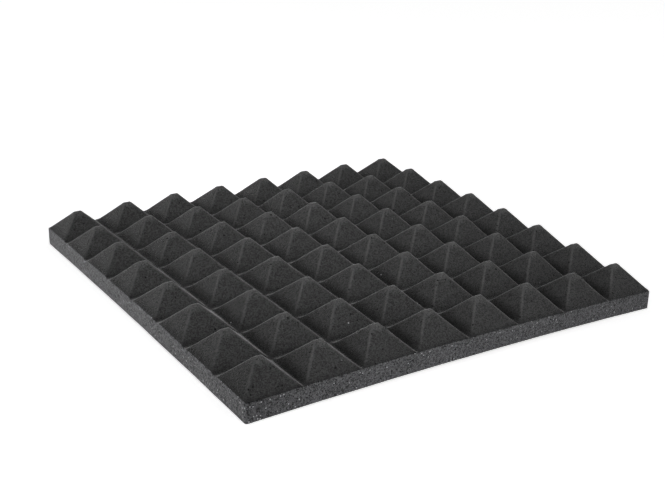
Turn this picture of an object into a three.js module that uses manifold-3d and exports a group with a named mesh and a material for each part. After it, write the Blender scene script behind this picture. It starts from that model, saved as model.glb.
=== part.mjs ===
// Acoustic foam pyramid panel, in millimetres, with +Z up.
// The panel lies on its flat back face. The origin is the centre of that face.
// The panel is one piece of open-cell foam. A wave-shaped blade crosses the block twice, the second
// time at right angles to the first, and what both passes leave is a grid of pyramids.
// The block is then trimmed to size just inside the outermost valleys, so its sides end level.

import * as THREE from 'three';
import { mergeVertices } from 'three/addons/utils/BufferGeometryUtils.js';
import Module from 'manifold-3d';

// Driving dimensions
const panelLength = 500;
const panelWidth = 500;
const slabThickness = 20;
const pyramidHeight = 25;
const crestRadius = 4.2;

// The pass between the columns cuts tight valleys, the pass between the rows wider ones
const columnValleyRadius = 3;
const rowValleyRadius = 9;

// How far the pass between the rows takes the tips down below the crests of the other pass, which
// leaves each tip a short ridge along X
const tipCut = 2.3;

// How far the sides are trimmed inside the outermost valleys
const sideTrim = 2;

const columnCount = 8;
const rowCount = 8;

// How far a cut runs past the faces that another cut leaves
const cutOverrun = 10;

// Facets on each half of a rounded crest, and on each half of a rounded valley
const crestFacets = 4;
const valleyFacets = 4;

const foamFinish = { color: 0x303134, roughness: 0.95, metalness: 0, flatShading: true };

const wasm = await Module();
wasm.setup();

// A closed three.js geometry as a solid that can be cut
function solidFrom(geometry) {
  const bare = geometry.clone();
  bare.deleteAttribute('normal');
  bare.deleteAttribute('uv');
  const merged = mergeVertices(bare);
  const vertProperties = new Float32Array(merged.attributes.position.array);
  const triVerts = new Uint32Array(merged.index.array);
  return new wasm.Manifold(new wasm.Mesh({ numProp: 3, vertProperties, triVerts }));
}

// A solid as a three.js geometry again
function geometryFrom(solid) {
  const mesh = solid.getMesh();
  const geometry = new THREE.BufferGeometry();
  geometry.setAttribute('position', new THREE.BufferAttribute(mesh.vertProperties, 3));
  geometry.setIndex(new THREE.BufferAttribute(mesh.triVerts, 1));
  geometry.computeVertexNormals();
  return geometry;
}

// Slope of the straight flank that is tangent to the valley arc below it and the crest arc above it
function flankAngle(halfPitch, waveHeight, valleyRadius) {
  const radii = crestRadius + valleyRadius;
  const rise = radii - waveHeight;
  return Math.atan2(halfPitch, rise) - Math.acos(radii / Math.hypot(halfPitch, rise));
}

// Points from the bottom of a valley to the top of the next crest, as run and height
function risingPoints(halfPitch, waveHeight, valleyRadius) {
  const angle = flankAngle(halfPitch, waveHeight, valleyRadius);
  const points = [];
  for (let step = 0; step <= valleyFacets; step += 1) {
    const turn = (angle * step) / valleyFacets;
    points.push([valleyRadius * Math.sin(turn), valleyRadius * (1 - Math.cos(turn))]);
  }
  for (let step = crestFacets; step >= 0; step -= 1) {
    const turn = (angle * step) / crestFacets;
    const drop = crestRadius * (1 - Math.cos(turn));
    points.push([halfPitch - crestRadius * Math.sin(turn), waveHeight - drop]);
  }
  return points;
}

// Section of the foam under one pass of the blade: a row of whole waves that reaches past both
// ends of the side by the trim, over a flat floor that lies below the back face
function waveSection(side, count, waveHeight, valleyRadius) {
  const reach = side / 2 + sideTrim;
  const pitch = (2 * reach) / count;
  const rising = risingPoints(pitch / 2, waveHeight, valleyRadius);
  const falling = rising.slice(1, -1).reverse();
  const section = new THREE.Shape();
  section.moveTo(-reach, -cutOverrun);
  for (let index = 0; index < count; index += 1) {
    const start = index * pitch - reach;
    for (const [run, height] of rising) {
      section.lineTo(start + run, slabThickness + height);
    }
    for (const [run, height] of falling) {
      section.lineTo(start + pitch - run, slabThickness + height);
    }
  }
  section.lineTo(reach, slabThickness);
  section.lineTo(reach, -cutOverrun);
  section.closePath();
  return section;
}

// The foam under one pass: its section varies along X and is drawn out along Y
function wave(section, otherSide) {
  const depth = otherSide + 2 * cutOverrun;
  const geometry = new THREE.ExtrudeGeometry(section, { depth, bevelEnabled: false });
  geometry.rotateX(Math.PI / 2);
  geometry.translate(0, depth / 2, 0);
  return geometry;
}

// The block before the passes: flat back, square sides, and a top above every crest
function foamBlock() {
  const height = slabThickness + pyramidHeight + cutOverrun;
  const geometry = new THREE.BoxGeometry(panelLength, panelWidth, height);
  geometry.translate(0, 0, height / 2);
  return geometry;
}

// What the two crossed passes leave of the block is one body
function foamPanel() {
  const columnHeight = pyramidHeight + tipCut;
  const columns = waveSection(panelLength, columnCount, columnHeight, columnValleyRadius);
  const rows = waveSection(panelWidth, rowCount, pyramidHeight, rowValleyRadius);
  const lengthwise = wave(columns, panelWidth);
  const crosswise = wave(rows, panelLength);
  crosswise.rotateZ(Math.PI / 2);
  const underLengthwise = solidFrom(foamBlock()).intersect(solidFrom(lengthwise));
  const solid = underLengthwise.intersect(solidFrom(crosswise));
  const mesh = new THREE.Mesh(geometryFrom(solid), new THREE.MeshStandardMaterial(foamFinish));
  mesh.name = 'foam_panel';
  return mesh;
}

const panel = new THREE.Group();
panel.add(foamPanel());

export default panel;
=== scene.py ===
import math
import random

import bmesh
import bpy
import numpy as np
from mathutils import Matrix, Vector, noise


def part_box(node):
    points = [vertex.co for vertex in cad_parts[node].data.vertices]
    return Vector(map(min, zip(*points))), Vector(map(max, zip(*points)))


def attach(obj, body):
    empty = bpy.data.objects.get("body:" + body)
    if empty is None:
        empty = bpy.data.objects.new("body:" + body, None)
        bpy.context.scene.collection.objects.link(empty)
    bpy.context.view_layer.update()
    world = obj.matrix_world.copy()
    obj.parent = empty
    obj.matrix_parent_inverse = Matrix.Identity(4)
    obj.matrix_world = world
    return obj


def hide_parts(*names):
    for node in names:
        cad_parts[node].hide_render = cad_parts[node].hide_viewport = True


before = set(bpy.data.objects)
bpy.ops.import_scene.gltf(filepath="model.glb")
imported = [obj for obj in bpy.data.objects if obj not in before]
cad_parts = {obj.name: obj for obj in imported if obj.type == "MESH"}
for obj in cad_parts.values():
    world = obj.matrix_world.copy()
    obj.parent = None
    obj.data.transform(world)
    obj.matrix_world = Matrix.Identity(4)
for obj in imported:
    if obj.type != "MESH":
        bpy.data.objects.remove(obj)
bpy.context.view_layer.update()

MM = 0.001

# Sizes of the panel, in metres, in the frame's axes: the panel lies on its back, tips up
LOW, HIGH = (Vector(corner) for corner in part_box("foam_panel"))
LENGTH = HIGH.x - LOW.x
WIDTH = HIGH.y - LOW.y
THICKNESS = HIGH.z - LOW.z
SLAB = 20 * MM
PYRAMID_HEIGHT = THICKNESS - SLAB
SIDE_TRIM = 2 * MM
# Pyramids along each side of the panel
ROWS = 8
PITCH = (LENGTH + 2 * SIDE_TRIM) / ROWS
HALF_PITCH = PITCH / 2
CREST_RADIUS = 4.2 * MM
# The wave along X is the taller one, so each tip is a short ridge along X
TIP_CUT = 2.3 * MM
WAVE_HEIGHT_X = PYRAMID_HEIGHT + TIP_CUT
VALLEY_RADIUS_X = 3 * MM
WAVE_HEIGHT_Y = PYRAMID_HEIGHT
VALLEY_RADIUS_Y = 9 * MM

# How far the pyramids lie off the block's middle, along X and along Y
SHIFT_X = -0.6 * MM
SHIFT_Y = -0.2 * MM

# Rise of the middle of each bottom edge over its ends: the soft panel doesn't lie quite flat
BOW_FRONT = 3.9 * MM
BOW_BACK = 1.1 * MM
BOW_LEFT = 2.4 * MM
BOW_RIGHT = 6.8 * MM

# Mesh of the panel
PROFILE_POINTS = 200
VALLEY_STEPS = 4
FLANK_STEPS = 7
CREST_STEPS = 4
RIDGE_STEPS = 3
CREASE_EASE = 1.0 * MM
CREASE_BEVEL = 1.3 * MM
CREASE_BEVEL_STEPS = 3
SIDE_ROWS = 9
BACK_EVERY = 5
EDGE_EASE = 0.45 * MM
CORNER_RADIUS = 2.6 * MM
SHARP_ANGLE = math.radians(38)
SAME_HEIGHT = 0.01 * MM
# Decimals of a metre to which two grid lines have to differ
PLACE_DECIMALS = 8
# A length that keeps a division clear of zero
TINY_LENGTH = 1e-9
ROUND_PROFILE = 0.5
SEED = 11

# Unevenness of the cut foam: how far it moves a point, and over what length it varies
TIP_SHIFT = 0.55 * MM
TIP_HEIGHT_SHIFT = 0.45 * MM
# The soft block gave way under the blade, so the tips of some areas lean along X, stand up or sink.
# Each area has its centre along X and Y, its spread along both, and its move along X and up, in mm.
ALL_LEAN = -0.3 * MM
ALL_LIFT = 0.85 * MM
TIP_AREAS = (
    (190, -58, 82, 170, 3.0, 0),
    (70, 0, 74, 900, 0, 1.2),
    (240, -140, 70, 110, 0, -1.2),
    (-120, -65, 95, 110, 0, -0.8),
)
WAVER_DEPTH = 0.35 * MM
WAVER_LENGTH = 45 * MM
RIPPLE_DEPTH = 0.06 * MM
RIPPLE_LENGTH = 7 * MM
GRAIN_DEPTH = 0.03 * MM
GRAIN_LENGTH = 2.2 * MM

# Burst bubbles, as round holes in the mesh
PIT_RADII = (0.6 * MM, 1.3 * MM)
PIT_DEPTHS = (1.5 * MM, 2.8 * MM)
PIT_SHARE = 0.005
# The rings of a hole from its rim down, each with its shares of the hole's radius and depth
PIT_RING_SHARES = ((1, 0), (0.8, 0.55), (0.45, 0.95))
# A hole's room in the grid, against its radius, and the grid lines it keeps from the panel's edge
PIT_ROOM = 1.15
PIT_MARGIN = 2


class Wave:
    """Half a wave of the cut, from a valley to the next crest: two arcs and a straight flank."""

    def __init__(self, height, valley_radius):
        radii = CREST_RADIUS + valley_radius
        reach = math.hypot(HALF_PITCH, radii - height)
        flank = math.atan2(HALF_PITCH, radii - height) - math.acos(radii / reach)
        rising = np.linspace(0, flank, PROFILE_POINTS)
        falling = rising[::-1]
        valley_runs = valley_radius * np.sin(rising)
        valley_heights = valley_radius * (1 - np.cos(rising))
        crest_runs = HALF_PITCH - CREST_RADIUS * np.sin(falling)
        crest_heights = height - CREST_RADIUS * (1 - np.cos(falling))
        self.runs = np.concatenate([valley_runs, crest_runs])
        self.heights = np.concatenate([valley_heights, crest_heights])
        self.valley_top = valley_heights[-1]
        self.crest_foot = crest_heights[0]

    def height(self, run):
        """Height over the slab at a distance from the nearest valley."""
        return np.interp(run, self.runs, self.heights)

    def run(self, height):
        """Distance from the nearest valley at a height over the slab."""
        return np.interp(height, self.heights, self.runs)


WAVE_X = Wave(WAVE_HEIGHT_X, VALLEY_RADIUS_X)
WAVE_Y = Wave(WAVE_HEIGHT_Y, VALLEY_RADIUS_Y)


def levels():
    """Heights over the slab of the mesh's rows, closer together where the wave along Y curves."""
    valley = WAVE_Y.valley_top * np.linspace(0, 1, VALLEY_STEPS + 1) ** 2
    flank = np.linspace(WAVE_Y.valley_top, WAVE_Y.crest_foot, FLANK_STEPS + 1)
    crest_fall = PYRAMID_HEIGHT - WAVE_Y.crest_foot
    crest = PYRAMID_HEIGHT - crest_fall * np.linspace(1, 0, CREST_STEPS + 1) ** 2
    return np.concatenate([valley, flank[1:], crest[1:]])


def stations(wave, side, shift):
    """Places of the grid lines across one side, and the wave's height at each.

    Both sides use the same levels, so the pyramids' creases run from crossing to crossing.
    """
    flank = wave.run(levels())
    ridge = np.linspace(flank[-1], HALF_PITCH, RIDGE_STEPS + 1)
    half = np.concatenate([flank, ridge[1:]])
    cell = np.concatenate([half, PITCH - half[-2::-1]])
    start = shift - ROWS * PITCH / 2
    row = np.concatenate([cell + index * PITCH for index in range(ROWS)])
    row = np.unique(np.round(row, PLACE_DECIMALS)) + start
    row = row[np.abs(row) < side / 2 - EDGE_EASE]
    row = np.concatenate([[-side / 2], row, [side / 2]])
    local = (row - start) % PITCH
    return row, wave.height(np.minimum(local, PITCH - local))


def crossed(rise_x, rise_y):
    """Height where two waves cross, a little rounded over where they meet."""
    near = np.maximum(CREASE_EASE - np.abs(rise_x - rise_y), 0)
    return np.minimum(rise_x, rise_y) - near ** 2 / (4 * CREASE_EASE)


def arch(share):
    """0 at both ends and 1 in the middle."""
    return 4 * share * (1 - share)


def smooth(share):
    """0 to 1, and level at both ends."""
    return share * share * (3 - 2 * share)


def bow(x, y):
    """How far the panel stands off the floor at a point of its plan."""
    across = x / LENGTH + 0.5
    along = y / WIDTH + 0.5
    lengthwise = BOW_FRONT * (1 - along) + BOW_BACK * along
    crosswise = BOW_LEFT * (1 - across) + BOW_RIGHT * across
    return arch(across) * lengthwise + arch(along) * crosswise


def tip_offsets():
    """Small moves of each pyramid's tip: one array by place along X, place along Y and axis."""
    draw = random.Random(SEED)
    reach = (TIP_SHIFT, TIP_SHIFT, TIP_HEIGHT_SHIFT)
    moves = np.array([[[draw.uniform(-r, r) for r in reach] for _ in range(ROWS)] for _ in range(ROWS)])
    moves += (ALL_LEAN, 0, ALL_LIFT)
    centres = (np.arange(ROWS) + 0.5 - ROWS / 2) * PITCH
    for area in TIP_AREAS:
        x, y, wide, long, lean, lift = (MM * value for value in area)
        near = np.exp(-((centres[:, None] - x) / wide) ** 2 - ((centres[None, :] - y) / long) ** 2)
        moves += near[:, :, None] * (lean, 0, lift)
    return moves


def uneven(points):
    """Moves along Z and sideways that make cut foam uneven, one row for each point."""
    # Without a seed, Blender starts this noise from the clock
    noise.seed_set(SEED)
    moves = np.zeros((len(points), 3))
    for index, point in enumerate(points):
        place = Vector(point)
        waver = noise.noise_vector(place / WAVER_LENGTH)
        ripple = noise.noise_vector(place / RIPPLE_LENGTH)
        grain = noise.noise_vector(place / GRAIN_LENGTH)
        moves[index] = WAVER_DEPTH * waver + RIPPLE_DEPTH * ripple + GRAIN_DEPTH * grain
    return moves


def round_corners(x, y):
    """Plan places with the panel's four upright corners rounded."""
    a = CORNER_RADIUS - (LENGTH / 2 - np.abs(x))
    b = CORNER_RADIUS - (WIDTH / 2 - np.abs(y))
    inside = (a > 0) & (b > 0)
    scale = np.where(inside, np.maximum(a, b) / np.maximum(np.hypot(a, b), TINY_LENGTH), 1)
    new_x = np.where(inside, np.sign(x) * (LENGTH / 2 - CORNER_RADIUS + a * scale), x)
    new_y = np.where(inside, np.sign(y) * (WIDTH / 2 - CORNER_RADIUS + b * scale), y)
    return new_x, new_y


class PanelMesh:
    """Vertices and faces of the panel while it is built, with both waves' heights at each vertex."""

    def __init__(self):
        self.points = []
        self.rises = []
        self.faces = []
        self.slots = []

    def add_point(self, point, rises):
        self.points.append(point)
        self.rises.append(rises)
        return len(self.points) - 1

    def add_face(self, corners, slot):
        self.faces.append(corners)
        self.slots.append(slot)


FACE_SLOT = 0
SIDE_SLOT = 1
END_SLOT = 2
BACK_SLOT = 3
ON_SLAB = (0, 0)


def cell_number(place):
    """Which pyramid along a side a place belongs to."""
    return min(int((place + ROWS * PITCH / 2) / PITCH), ROWS - 1)


def eased(places, index):
    """A grid line's place, drawn in a little if the line is the panel's edge."""
    edge = EDGE_EASE if index in (0, len(places) - 1) else 0
    return places[index] - math.copysign(edge, places[index])


def build_top(mesh, xs, ys, rises_x, rises_y):
    """Points of the pyramid face. Gives the grid of their numbers and the grid of their heights."""
    heights = SLAB + crossed(rises_x[:, None], rises_y[None, :])
    tips = tip_offsets()
    number = np.zeros((len(xs), len(ys)), int)
    for i, x in enumerate(xs):
        column = cell_number(x)
        for j, y in enumerate(ys):
            move = tips[column, cell_number(y)] * smooth(min(rises_x[i], rises_y[j]) / PYRAMID_HEIGHT)
            point = (eased(xs, i) + move[0], eased(ys, j) + move[1], heights[i, j] + move[2])
            number[i, j] = mesh.add_point(point, (rises_x[i], rises_y[j]))
    return number, heights


def add_top_faces(mesh, number, rises_x, rises_y, skipped):
    """Quads of the pyramid face, split along the creases."""
    for i in range(len(rises_x) - 1):
        for j in range(len(rises_y) - 1):
            if (i, j) in skipped:
                continue
            a, b = number[i, j], number[i + 1, j]
            c, d = number[i + 1, j + 1], number[i, j + 1]
            rising = abs(rises_x[i] - rises_y[j]) + abs(rises_x[i + 1] - rises_y[j + 1])
            falling = abs(rises_x[i + 1] - rises_y[j]) + abs(rises_x[i] - rises_y[j + 1])
            if rising < SAME_HEIGHT:
                mesh.add_face((a, b, c), FACE_SLOT)
                mesh.add_face((a, c, d), FACE_SLOT)
            elif falling < SAME_HEIGHT:
                mesh.add_face((a, b, d), FACE_SLOT)
                mesh.add_face((b, c, d), FACE_SLOT)
            else:
                mesh.add_face((a, b, c, d), FACE_SLOT)


def boundary(number):
    """Places round the rim of a grid, anticlockwise from above."""
    last_i, last_j = number.shape[0] - 1, number.shape[1] - 1
    rim = [(i, 0) for i in range(last_i)]
    rim += [(last_i, j) for j in range(last_j)]
    rim += [(i, last_j) for i in range(last_i, 0, -1)]
    rim += [(0, j) for j in range(last_j, 0, -1)]
    return rim


def build_sides(mesh, number, xs, ys, heights):
    """The four cut sides. Gives the number of the bottom point under each place on the rim."""
    rim = boundary(number)
    rings = [[int(number[i, j]) for i, j in rim]]
    for share in np.linspace(0, 1, SIDE_ROWS - 1):
        ring = []
        for i, j in rim:
            top = heights[i, j] - EDGE_EASE
            z = top + (EDGE_EASE - top) * share
            ring.append(mesh.add_point((xs[i], ys[j], z), ON_SLAB))
        rings.append(ring)
    bottom = [mesh.add_point((eased(xs, i), eased(ys, j), 0), ON_SLAB) for i, j in rim]
    rings.append(bottom)
    for upper, lower in zip(rings, rings[1:]):
        for k in range(len(rim)):
            after = (k + 1) % len(rim)
            slot = SIDE_SLOT if rim[k][1] == rim[after][1] else END_SLOT
            mesh.add_face((upper[k], lower[k], lower[after], upper[after]), slot)
    return dict(zip(rim, bottom))


def build_back(mesh, bottom, xs, ys):
    """The back face, on a coarser grid whose outer cells take in every point of the rim."""
    last_i, last_j = len(xs) - 1, len(ys) - 1
    coarse_i = sorted(set(range(0, last_i, BACK_EVERY)) | {last_i})
    coarse_j = sorted(set(range(0, last_j, BACK_EVERY)) | {last_j})
    number = dict(bottom)
    for i in coarse_i[1:-1]:
        for j in coarse_j[1:-1]:
            number[i, j] = mesh.add_point((xs[i], ys[j], 0), ON_SLAB)
    for i0, i1 in zip(coarse_i, coarse_i[1:]):
        for j0, j1 in zip(coarse_j, coarse_j[1:]):
            loop = [(i, j0) for i in (range(i0, i1) if j0 == 0 else (i0,))]
            loop += [(i1, j) for j in (range(j0, j1) if i1 == last_i else (j0,))]
            loop += [(i, j1) for i in (range(i1, i0, -1) if j1 == last_j else (i1,))]
            loop += [(i0, j) for j in (range(j1, j0, -1) if i0 == 0 else (j1,))]
            mesh.add_face([number[key] for key in reversed(loop)], BACK_SLOT)


def pick_pits(xs, ys):
    """Grid crossings that get a burst bubble, well apart and where the grid is wide enough."""
    draw = random.Random(SEED + 1)
    widest = PIT_RADII[1] * PIT_ROOM
    taken = set()
    pits = []
    for i in range(PIT_MARGIN, len(xs) - PIT_MARGIN):
        for j in range(PIT_MARGIN, len(ys) - PIT_MARGIN):
            if draw.random() > PIT_SHARE:
                continue
            room = min(xs[i] - xs[i - 1], xs[i + 1] - xs[i], ys[j] - ys[j - 1], ys[j + 1] - ys[j])
            cells = {(i - 1, j - 1), (i, j - 1), (i - 1, j), (i, j)}
            if room < widest or cells & taken:
                continue
            taken |= cells
            pits.append((i, j))
    return pits, taken


def add_pits(mesh, number, pits):
    """A round hole at each picked crossing, in place of the four quads that meet there."""
    draw = random.Random(SEED + 2)
    ring_steps = ((-1, -1), (0, -1), (1, -1), (1, 0), (1, 1), (0, 1), (-1, 1), (-1, 0))
    turns = [(k, (k + 1) % len(ring_steps)) for k in range(len(ring_steps))]
    for i, j in pits:
        middle = int(number[i, j])
        centre = np.array(mesh.points[middle])
        around = [int(number[i + a, j + b]) for a, b in ring_steps]
        outer = [np.array(mesh.points[k]) for k in around]
        normal = sum(np.cross(outer[k] - centre, outer[after] - centre) for k, after in turns)
        normal /= np.linalg.norm(normal)
        radius = draw.uniform(*PIT_RADII)
        depth = draw.uniform(*PIT_DEPTHS)
        rises = mesh.rises[middle]
        rings = [around]
        for reach, sink in PIT_RING_SHARES:
            ring = []
            for point in outer:
                way = point - centre
                way -= normal * way.dot(normal)
                way /= np.linalg.norm(way)
                place = centre + way * radius * reach - normal * depth * sink
                ring.append(mesh.add_point(tuple(place), rises))
            rings.append(ring)
        mesh.points[middle] = tuple(centre - normal * depth)
        for wide, narrow in zip(rings, rings[1:]):
            for k, after in turns:
                mesh.add_face((wide[k], wide[after], narrow[after], narrow[k]), FACE_SLOT)
        for k, after in turns:
            mesh.add_face((rings[-1][k], rings[-1][after], middle), FACE_SLOT)


def bevel_creases(data, rises):
    """Rounds the creases between the flanks, from just over the valleys to just under the crests."""
    bevelled = bmesh.new()
    bevelled.from_mesh(data)
    bevelled.verts.ensure_lookup_table()
    low, high = WAVE_Y.valley_top - SAME_HEIGHT, WAVE_Y.crest_foot + SAME_HEIGHT
    rises_x, rises_y = rises[:, 0], rises[:, 1]
    on_crease = (np.abs(rises_x - rises_y) < SAME_HEIGHT) & (rises_x > low) & (rises_x < high)
    creases = [edge for edge in bevelled.edges if all(on_crease[vert.index] for vert in edge.verts)]
    bmesh.ops.bevel(
        bevelled,
        geom=creases,
        offset=CREASE_BEVEL,
        offset_type="OFFSET",
        segments=CREASE_BEVEL_STEPS,
        profile=ROUND_PROFILE,
        affect="EDGES",
        clamp_overlap=False,
        material=-1,
    )
    bevelled.to_mesh(data)
    bevelled.free()


def build_foam():
    """The whole panel as one closed mesh object."""
    xs, rises_x = stations(WAVE_X, LENGTH, SHIFT_X)
    ys, rises_y = stations(WAVE_Y, WIDTH, SHIFT_Y)
    mesh = PanelMesh()
    number, heights = build_top(mesh, xs, ys, rises_x, rises_y)
    pits, skipped = pick_pits(xs, ys)
    add_top_faces(mesh, number, rises_x, rises_y, skipped)
    add_pits(mesh, number, pits)
    bottom = build_sides(mesh, number, xs, ys, heights)
    build_back(mesh, bottom, xs, ys)

    points = np.array(mesh.points)
    points[:, 0], points[:, 1] = round_corners(points[:, 0], points[:, 1])
    moves = uneven(points)
    moves[:, 2] *= np.clip(points[:, 2] / SLAB, 0, 1)
    points += moves
    points[:, 2] += bow(points[:, 0], points[:, 1]) + LOW.z

    data = bpy.data.meshes.new("foam")
    data.from_pydata(points.tolist(), [], mesh.faces)
    data.polygons.foreach_set("material_index", mesh.slots)
    corner_points = np.zeros(len(data.loops), int)
    data.loops.foreach_get("vertex_index", corner_points)
    rises = np.array(mesh.rises)
    rise_map = data.uv_layers.new(name="rises")
    shares = rises[corner_points] / PYRAMID_HEIGHT
    rise_map.data.foreach_set("uv", shares.astype(np.float32).ravel())
    bevel_creases(data, rises)
    data.polygons.foreach_set("use_smooth", [True] * len(data.polygons))
    data.set_sharp_from_angle(angle=SHARP_ANGLE)
    data.validate()
    foam = bpy.data.objects.new("pyramid_foam", data)
    bpy.context.scene.collection.objects.link(foam)
    return foam


# The mix node's colour sockets, which share their names with its other sockets
MIX_FIRST = 6
MIX_SECOND = 7
MIX_RESULT = 2


class Nodes:
    """Short calls for building a node tree."""

    def __init__(self, owner):
        self.tree = owner.node_tree
        self.tree.nodes.clear()

    def new(self, kind, **settings):
        node = self.tree.nodes.new(kind)
        for name, value in settings.items():
            setattr(node, name, value)
        return node

    def put(self, node, name, value):
        socket = node.inputs[name]
        if isinstance(value, bpy.types.NodeSocket):
            self.tree.links.new(value, socket)
        else:
            socket.default_value = value

    def math(self, operation, *values, clamp=False):
        node = self.new("ShaderNodeMath", operation=operation, use_clamp=clamp)
        for index, value in enumerate(values):
            self.put(node, index, value)
        return node.outputs[0]

    def mix(self, share, first, second, blend="MIX"):
        """Two colours, with this share of the second blended into the first."""
        node = self.new("ShaderNodeMix", data_type="RGBA", blend_type=blend)
        self.put(node, 0, share)
        self.put(node, MIX_FIRST, first)
        self.put(node, MIX_SECOND, second)
        return node.outputs[MIX_RESULT]

    def ramp(self, value, low, high, to_low, to_high):
        """value taken smoothly from one range to another, and held at its ends."""
        node = self.new("ShaderNodeMapRange", interpolation_type="SMOOTHSTEP")
        for name, setting in zip(
            ("Value", "From Min", "From Max", "To Min", "To Max"),
            (value, low, high, to_low, to_high),
        ):
            self.put(node, name, setting)
        return node.outputs["Result"]

    def noise(self, place, length, detail):
        """Soft noise around 0.5 whose lumps are about this long."""
        node = self.new("ShaderNodeTexNoise")
        self.put(node, "Vector", place)
        self.put(node, "Scale", 1 / length)
        self.put(node, "Detail", detail)
        return node.outputs["Fac"]

    def cells(self, place, length, feature):
        """Voronoi cells about this long."""
        node = self.new("ShaderNodeTexVoronoi", feature=feature)
        self.put(node, "Vector", place)
        self.put(node, "Scale", 1 / length)
        return node


# Looks of the foam, as linear colours, and lengths in metres
# The cut sides are lighter than the pyramid face, partly as a fuzzier cut and partly as painted light
FACE_COLOUR = (0.0372, 0.0372, 0.0372)
SIDE_COLOUR = (0.0798, 0.0798, 0.0832)
# The ends along Y are painted lighter than the sides along X: painted light, from the lamp on the left
END_PAINTED_LIGHT_COLOUR = (0.098, 0.098, 0.102)
# Colour of the painted glints
GLINT_COLOUR = (0.45, 0.45, 0.46)
CELL_LENGTH = 1.05 * MM
END_CELL_LENGTH = 1.5 * MM
# For each cut: colour, length of a cell, contrast of the cells, the shares of places that hold a dark
# dot and a white speck, and whether it has creases and tips. The order is that of the slots above.
CUTS = {
    "foam_pyramid_face": (FACE_COLOUR, CELL_LENGTH, 0.5, 0.07, 0.002, True),
    "foam_cut_side": (SIDE_COLOUR, CELL_LENGTH, 0.85, 0.09, 0.24, False),
    "foam_cut_end": (END_PAINTED_LIGHT_COLOUR, END_CELL_LENGTH, 0.9, 0.08, 0.35, False),
    "foam_cut_back": (SIDE_COLOUR, CELL_LENGTH, 0.42, 0.06, 0.02, False),
}
CELL_SHADE = 0.93
CELL_MEAN_DEPTH = 0.5
STRUT_WIDTH_SHARE = 0.2
STRUT_GAIN = 0.35
# Soft noises of three sizes: how long their lumps are, and how dark and how bright they get
CLUMP_LENGTH = 2.6 * MM
CLUMP_SHADES = (0.93, 1.07)
MOTTLE_LENGTH = 7 * MM
MOTTLE_SHADES = (0.97, 1.03)
CLOUD_LENGTH = 90 * MM
CLOUD_SHADES = (0.95, 1.05)
# The range of a soft noise that is spread over its shades, and a wider one for the smallest lumps
NOISE_RANGE = (0.3, 0.7)
CLUMP_RANGE = (0.25, 0.75)
PLAIN_DETAIL = 1.0
FINE_DETAIL = 2.0
# Burst bubbles are dots of painted shade, the shade of a small hole, with a dent in the bump
PIT_LENGTH = 4.5 * MM
PIT_PAINTED_SHADE_SHARE = 0.85
GLINT_LENGTH = 4 * MM
# Dots and specks come in patches, between these gains
PATCH_LENGTH = 45 * MM
PATCH_RANGE = (0.4, 0.7)
PATCH_GAINS = (0.8, 3)
# How far a spot's soft rim reaches, against its size
SPOT_RIM = 1.6
BUMP_HEIGHT = 0.35 * MM
BUMP_STRENGTH = 0.5
STRUT_BUMP = 0.5
PIT_BUMP = -2.0
ROUGHNESS = 0.95
SPECULAR_LEVEL = 0.2
# The fuzz of cut struts shines at grazing angles
SHEEN_WEIGHT = 0.6
SHEEN_ROUGHNESS = 0.3
# The creases get a painted highlight, set by the values below
CREASE_WIDTH_SHARE = 0.13
# Painted highlights on the creases go from the one strength to the other up to this share of the
# pyramids' height
CREASE_RISE_SHARE = 0.8
CREASE_STRENGTHS = (0.6, 1.2)
CREASE_HIGHLIGHT_LUMP_LENGTH = 9 * MM
CREASE_HIGHLIGHT_SPREAD = (0.92, 1.08)
CREASE_HIGHLIGHT_GAIN = 0.82
CREASE_SMOOTH_SHARE = 0.6
# A painted highlight on the tips, and painted light that grows up the flanks
TIP_SHARE = 0.72
TIP_PAINTED_HIGHLIGHT_GAIN = 0.88
RISE_SHARE = 0.5
RISE_PAINTED_LIGHT_GAIN = 0.14
# Painted shade darkens the wide valleys between the rows a little, and the tight ones between the
# columns more, where they run between two pyramids rather than across a wide valley
ROW_VALLEY_SHARE = 0.12
ROW_VALLEY_SHADE = 0.68
COLUMN_VALLEY_SHARE = 0.37
COLUMN_VALLEY_SHADES = (0.66, 0.37)
COLUMN_VALLEY_CROSSING_SHARES = (0.1, 0.6)
PIT_SPOTS = (0.35 * MM, 1.0 * MM)
GLINT_SPOTS = (0.25 * MM, 0.75 * MM)
# The foam is torn rougher round one corner of the panel, and most within the core, and painted shade
# darkens the foam there
TORN_CORNER = (LOW.x, LOW.y, SLAB)
TORN_REACH = 75 * MM
TORN_CORE = TORN_REACH / 3
TORN_GAIN = 3.5
# Painted shade at the torn corner
CORNER_PAINTED_SHADE = 0.83


def wave_rises(nodes):
    """Height of both waves at a point, as shares of the pyramids' height."""
    rises = nodes.new("ShaderNodeUVMap", uv_map="rises").outputs["UV"]
    parts = nodes.new("ShaderNodeSeparateXYZ")
    nodes.put(parts, 0, rises)
    return parts.outputs["X"], parts.outputs["Y"]


def crease_painted_highlight(nodes, place):
    """Painted highlights along the lines where the two waves meet: strongest near the tips, and uneven
    along their length.
    """
    rise_x, rise_y = wave_rises(nodes)
    apart = nodes.math("ABSOLUTE", nodes.math("SUBTRACT", rise_x, rise_y))
    line = nodes.ramp(apart, 0.0, CREASE_WIDTH_SHARE, 1.0, 0.0)
    rise = nodes.math("MINIMUM", rise_x, rise_y)
    raised = nodes.ramp(rise, 0.0, CREASE_RISE_SHARE, *CREASE_STRENGTHS)
    highlight_lumps = nodes.noise(place, CREASE_HIGHLIGHT_LUMP_LENGTH, FINE_DETAIL)
    uneven_highlight = nodes.ramp(highlight_lumps, *NOISE_RANGE, *CREASE_HIGHLIGHT_SPREAD)
    return nodes.math("MULTIPLY", line, nodes.math("MULTIPLY", raised, uneven_highlight))


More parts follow.
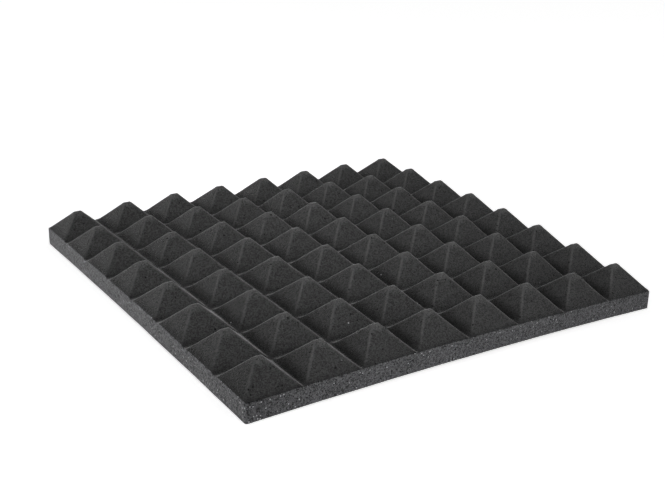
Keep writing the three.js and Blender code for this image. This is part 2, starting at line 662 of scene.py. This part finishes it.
def painted_light_and_shade_by_rise(nodes):
    """Painted light up the flanks and painted shade down in the valleys, and a painted highlight on the
    tips, as two factors.
    """
    rise_x, rise_y = wave_rises(nodes)
    rise = nodes.math("MINIMUM", rise_x, rise_y)
    flank = nodes.ramp(rise, 0.0, RISE_SHARE, 1.0, 1 + RISE_PAINTED_LIGHT_GAIN)
    # Painted shade in the valleys, darkest in the column valleys away from their crossings
    row_valley = nodes.ramp(rise_y, 0.0, ROW_VALLEY_SHARE, ROW_VALLEY_SHADE, 1.0)
    dark = nodes.ramp(rise_y, *COLUMN_VALLEY_CROSSING_SHARES, *COLUMN_VALLEY_SHADES)
    column_valley = nodes.ramp(rise_x, 0.0, COLUMN_VALLEY_SHARE, dark, 1.0)
    flank = nodes.math("MULTIPLY", flank, nodes.math("MULTIPLY", row_valley, column_valley))
    tip = nodes.ramp(rise, TIP_SHARE, 1.0, 1.0, 1 + TIP_PAINTED_HIGHLIGHT_GAIN)
    return flank, tip


def near_corner(nodes, place, there):
    """A factor that goes from this value at the torn corner to 1 away from it."""
    away = nodes.new("ShaderNodeVectorMath", operation="DISTANCE")
    nodes.put(away, 0, place)
    nodes.put(away, 1, TORN_CORNER)
    return nodes.ramp(away.outputs["Value"], TORN_CORE, TORN_REACH, there, 1.0)


def scattered(nodes, place, length, share, sizes):
    """1 in small round spots, in about this share of cells about this long, more in some patches."""
    cells = nodes.cells(place, length, "F1")
    draw = nodes.new("ShaderNodeSeparateColor")
    nodes.put(draw, "Color", cells.outputs["Color"])
    few, many = (gain * share for gain in PATCH_GAINS)
    patch = nodes.ramp(nodes.noise(place, PATCH_LENGTH, PLAIN_DETAIL), *PATCH_RANGE, few, many)
    torn = near_corner(nodes, place, TORN_GAIN)
    here = nodes.math("LESS_THAN", draw.outputs["Red"], nodes.math("MULTIPLY", patch, torn))
    small, large = (size / length for size in sizes)
    size = nodes.math("MULTIPLY_ADD", draw.outputs["Green"], large - small, small)
    rim = nodes.math("MULTIPLY", size, SPOT_RIM)
    spot = nodes.ramp(cells.outputs["Distance"], size, rim, 1.0, 0.0)
    return nodes.math("MULTIPLY", spot, here)


def foam_material(name, colour, cell, contrast, pit_share, glint_share, has_tips):
    """Open-cell foam: cells and struts, clumps, soft mottling, burst bubbles as dots of painted shade,
    and painted glints.
    """
    material = bpy.data.materials.new(name)
    material.use_nodes = True
    nodes = Nodes(material)
    place = nodes.new("ShaderNodeTexCoord").outputs["Object"]

    edge = nodes.cells(place, cell, "DISTANCE_TO_EDGE").outputs["Distance"]
    strut = nodes.ramp(edge, 0.0, STRUT_WIDTH_SHARE, 1.0, 0.0)
    draw = nodes.new("ShaderNodeSeparateColor")
    nodes.put(draw, "Color", nodes.cells(place, cell, "F1").outputs["Color"])
    depth = draw.outputs["Red"]
    if has_tips:
        crease_highlight = crease_painted_highlight(nodes, place)
        fade = nodes.math("MULTIPLY", crease_highlight, CREASE_SMOOTH_SHARE)
        short = nodes.math("SUBTRACT", CELL_MEAN_DEPTH, depth)
        depth = nodes.math("MULTIPLY_ADD", short, fade, depth)
    clump = nodes.noise(place, CLUMP_LENGTH, PLAIN_DETAIL)
    mottle = nodes.noise(place, MOTTLE_LENGTH, FINE_DETAIL)
    cloud = nodes.noise(place, CLOUD_LENGTH, FINE_DETAIL)

    shade = nodes.math("MULTIPLY_ADD", depth, 2 * contrast, CELL_SHADE - contrast)
    shade = nodes.math("MULTIPLY_ADD", strut, STRUT_GAIN, shade)
    shade = nodes.math("MULTIPLY", shade, nodes.ramp(clump, *CLUMP_RANGE, *CLUMP_SHADES))
    shade = nodes.math("MULTIPLY", shade, nodes.ramp(mottle, *NOISE_RANGE, *MOTTLE_SHADES))
    shade = nodes.math("MULTIPLY", shade, nodes.ramp(cloud, *NOISE_RANGE, *CLOUD_SHADES))
    # Painted shade round the torn corner
    shade = nodes.math("MULTIPLY", shade, near_corner(nodes, place, CORNER_PAINTED_SHADE))
    if has_tips:
        # Painted highlight on the creases
        crease_highlight = nodes.math("MULTIPLY_ADD", crease_highlight, CREASE_HIGHLIGHT_GAIN, 1.0)
        # Painted light up the flanks and on the tips, and painted shade in the valleys
        flank, tip = painted_light_and_shade_by_rise(nodes)
        shade = nodes.math("MULTIPLY", shade, flank)
        shade = nodes.math("MULTIPLY", shade, nodes.math("MAXIMUM", crease_highlight, tip))
    # Dots of painted shade for burst bubbles
    pit = scattered(nodes, place, PIT_LENGTH, pit_share, PIT_SPOTS)
    shade = nodes.math("MULTIPLY", shade, nodes.math("MULTIPLY_ADD", pit, -PIT_PAINTED_SHADE_SHARE, 1.0))
    glint = scattered(nodes, place, GLINT_LENGTH, glint_share, GLINT_SPOTS)

    grey = nodes.new("ShaderNodeCombineColor")
    for channel in ("Red", "Green", "Blue"):
        nodes.put(grey, channel, shade)
    dyed = nodes.mix(1.0, (*colour, 1), grey.outputs["Color"], "MULTIPLY")
    lit = nodes.mix(glint, dyed, (*GLINT_COLOUR, 1))

    height = nodes.math("MULTIPLY_ADD", strut, STRUT_BUMP, depth)
    height = nodes.math("MULTIPLY_ADD", pit, PIT_BUMP, height)
    bump = nodes.new("ShaderNodeBump")
    nodes.put(bump, "Strength", BUMP_STRENGTH)
    nodes.put(bump, "Distance", BUMP_HEIGHT)
    nodes.put(bump, "Height", height)

    surface = nodes.new("ShaderNodeBsdfPrincipled")
    nodes.put(surface, "Base Color", lit)
    nodes.put(surface, "Roughness", ROUGHNESS)
    nodes.put(surface, "Specular IOR Level", SPECULAR_LEVEL)
    nodes.put(surface, "Sheen Weight", SHEEN_WEIGHT)
    nodes.put(surface, "Sheen Roughness", SHEEN_ROUGHNESS)
    nodes.put(surface, "Normal", bump.outputs["Normal"])
    output = nodes.new("ShaderNodeOutputMaterial")
    nodes.put(output, "Surface", surface.outputs["BSDF"])
    return material


def dress(foam):
    """Materials of the pyramid face, the sides along X, the ends along Y and the back."""
    for name, look in CUTS.items():
        foam.data.materials.append(foam_material(name, *look))


# The studio: a white floor, even light from all round, soft boxes on the camera's side, and a beam.
# Each box is given by its heading and height above the horizon in degrees, its distance, width and
# height in metres, and how bright its face is, where 1 is white.
WHITE = (1, 1, 1, 1)
FLOOR_COLOUR = (0.9, 0.9, 0.9, 1)
FLOOR_SIZE = 8.0
FLOOR_GAP = 0.2 * MM
FLOOR_GLOW = 0.62
WORLD_STRENGTH = 0.3
SOFT_BOXES = {
    "left_softbox": (138, 11, 3.0, 1.3, 0.9, 7.4),
    "key_softbox": (220, 16, 6.0, 2.6, 1.8, 2.9),
    "high_softbox": (295, 32, 6.0, 2.6, 1.8, 3.2),
    "right_softbox": (320, 16, 6.0, 2.6, 1.8, 2.9),
}
# A lamp whose soft-edged beam lifts the panel's middle: where it points, from where, and how wide
BEAM_AIM = (-25 * MM, 40 * MM, 30 * MM)
BEAM_HEADING = 250
BEAM_CLIMB = 35
BEAM_DISTANCE = 2.5
BEAM_RADIUS = 0.3
BEAM_SOFTNESS = 0.25
BEAM_BLEND = 1.0
BEAM_LEVEL = 1.5


def white_floor():
    """Floor that the camera sees as white but for the panel's own soft shadow."""
    material = bpy.data.materials.new("studio_sweep")
    material.use_nodes = True
    nodes = Nodes(material)
    seen = nodes.new("ShaderNodeLightPath").outputs["Is Camera Ray"]
    matte = nodes.new("ShaderNodeBsdfDiffuse")
    nodes.put(matte, "Color", FLOOR_COLOUR)
    glow = nodes.new("ShaderNodeEmission")
    nodes.put(glow, "Color", WHITE)
    nodes.put(glow, "Strength", nodes.math("MULTIPLY", seen, FLOOR_GLOW))
    both = nodes.new("ShaderNodeAddShader")
    nodes.put(both, 0, matte.outputs["BSDF"])
    nodes.put(both, 1, glow.outputs["Emission"])
    output = nodes.new("ShaderNodeOutputMaterial")
    nodes.put(output, "Surface", both.outputs["Shader"])

    half = FLOOR_SIZE / 2
    level = LOW.z - FLOOR_GAP
    corners = [(-half, -half, level), (half, -half, level), (half, half, level), (-half, half, level)]
    data = bpy.data.meshes.new("studio_floor")
    data.from_pydata(corners, [], [(0, 1, 2, 3)])
    data.materials.append(material)
    floor = bpy.data.objects.new("studio_floor", data)
    bpy.context.scene.collection.objects.link(floor)


def soft_world():
    """Even white light from all round, plain white to the camera."""
    world = bpy.data.worlds.new("studio_world")
    bpy.context.scene.world = world
    world.use_nodes = True
    nodes = Nodes(world)
    seen = nodes.new("ShaderNodeLightPath").outputs["Is Camera Ray"]
    level = nodes.math("MULTIPLY_ADD", seen, 1 - WORLD_STRENGTH, WORLD_STRENGTH)
    background = nodes.new("ShaderNodeBackground")
    nodes.put(background, "Color", WHITE)
    nodes.put(background, "Strength", level)
    output = nodes.new("ShaderNodeOutputWorld")
    nodes.put(output, "Surface", background.outputs["Background"])


def bearing(heading, climb):
    """Direction at a heading and a height above the horizon, both in degrees."""
    level = math.cos(math.radians(climb))
    return Vector((
        math.cos(math.radians(heading)) * level,
        math.sin(math.radians(heading)) * level,
        math.sin(math.radians(climb)),
    ))


def soft_beam():
    """A spot lamp on the panel's middle."""
    data = bpy.data.lights.new("middle_beam", "SPOT")
    data.energy = 4 * math.pi * BEAM_DISTANCE ** 2 * BEAM_LEVEL
    data.spot_size = 2 * math.atan(BEAM_RADIUS / BEAM_DISTANCE)
    data.spot_blend = BEAM_BLEND
    data.shadow_soft_size = BEAM_SOFTNESS
    light = bpy.data.objects.new("middle_beam", data)
    away = bearing(BEAM_HEADING, BEAM_CLIMB)
    light.location = Vector(BEAM_AIM) + away * BEAM_DISTANCE
    light.rotation_euler = away.to_track_quat("Z", "Y").to_euler()
    bpy.context.scene.collection.objects.link(light)


def soft_box(name, heading, climb, distance, width, height, brightness):
    """An area lamp that faces the middle of the floor."""
    data = bpy.data.lights.new(name, "AREA")
    data.shape = "RECTANGLE"
    data.size = width
    data.size_y = height
    data.energy = math.pi * width * height * brightness
    light = bpy.data.objects.new(name, data)
    away = bearing(heading, climb)
    light.location = away * distance
    light.rotation_euler = away.to_track_quat("Z", "Y").to_euler()
    bpy.context.scene.collection.objects.link(light)


# The photograph's view: the middle of the picture looks at a point on the panel
CAMERA_AIM = (14.2 * MM, 24.4 * MM, 20 * MM)
CAMERA_DISTANCE = 1337.3 * MM
CAMERA_HEADING = math.radians(56.98)
CAMERA_PITCH = math.radians(21.51)
CAMERA_ROLL = math.radians(1.46)
CAMERA_LENS = 61.81


def add_camera():
    """Camera that looks along the heading, from +X towards +Y, and down by the pitch."""
    level = math.cos(CAMERA_PITCH)
    forward = Vector((
        math.cos(CAMERA_HEADING) * level,
        math.sin(CAMERA_HEADING) * level,
        -math.sin(CAMERA_PITCH),
    ))
    data = bpy.data.cameras.new("camera")
    data.lens = CAMERA_LENS
    camera = bpy.data.objects.new("camera", data)
    turn = forward.to_track_quat("-Z", "Y").to_matrix().to_4x4()
    place = Matrix.Translation(Vector(CAMERA_AIM) - forward * CAMERA_DISTANCE)
    camera.matrix_world = place @ turn @ Matrix.Rotation(CAMERA_ROLL, 4, "Z")
    bpy.context.scene.collection.objects.link(camera)
    bpy.context.scene.camera = camera


add_camera()
foam = build_foam()
dress(foam)
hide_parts("foam_panel")
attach(foam, "root")
white_floor()
soft_world()
for box_name, settings in SOFT_BOXES.items():
    soft_box(box_name, *settings)
soft_beam()
bpy.context.scene.view_settings.view_transform = "Standard"
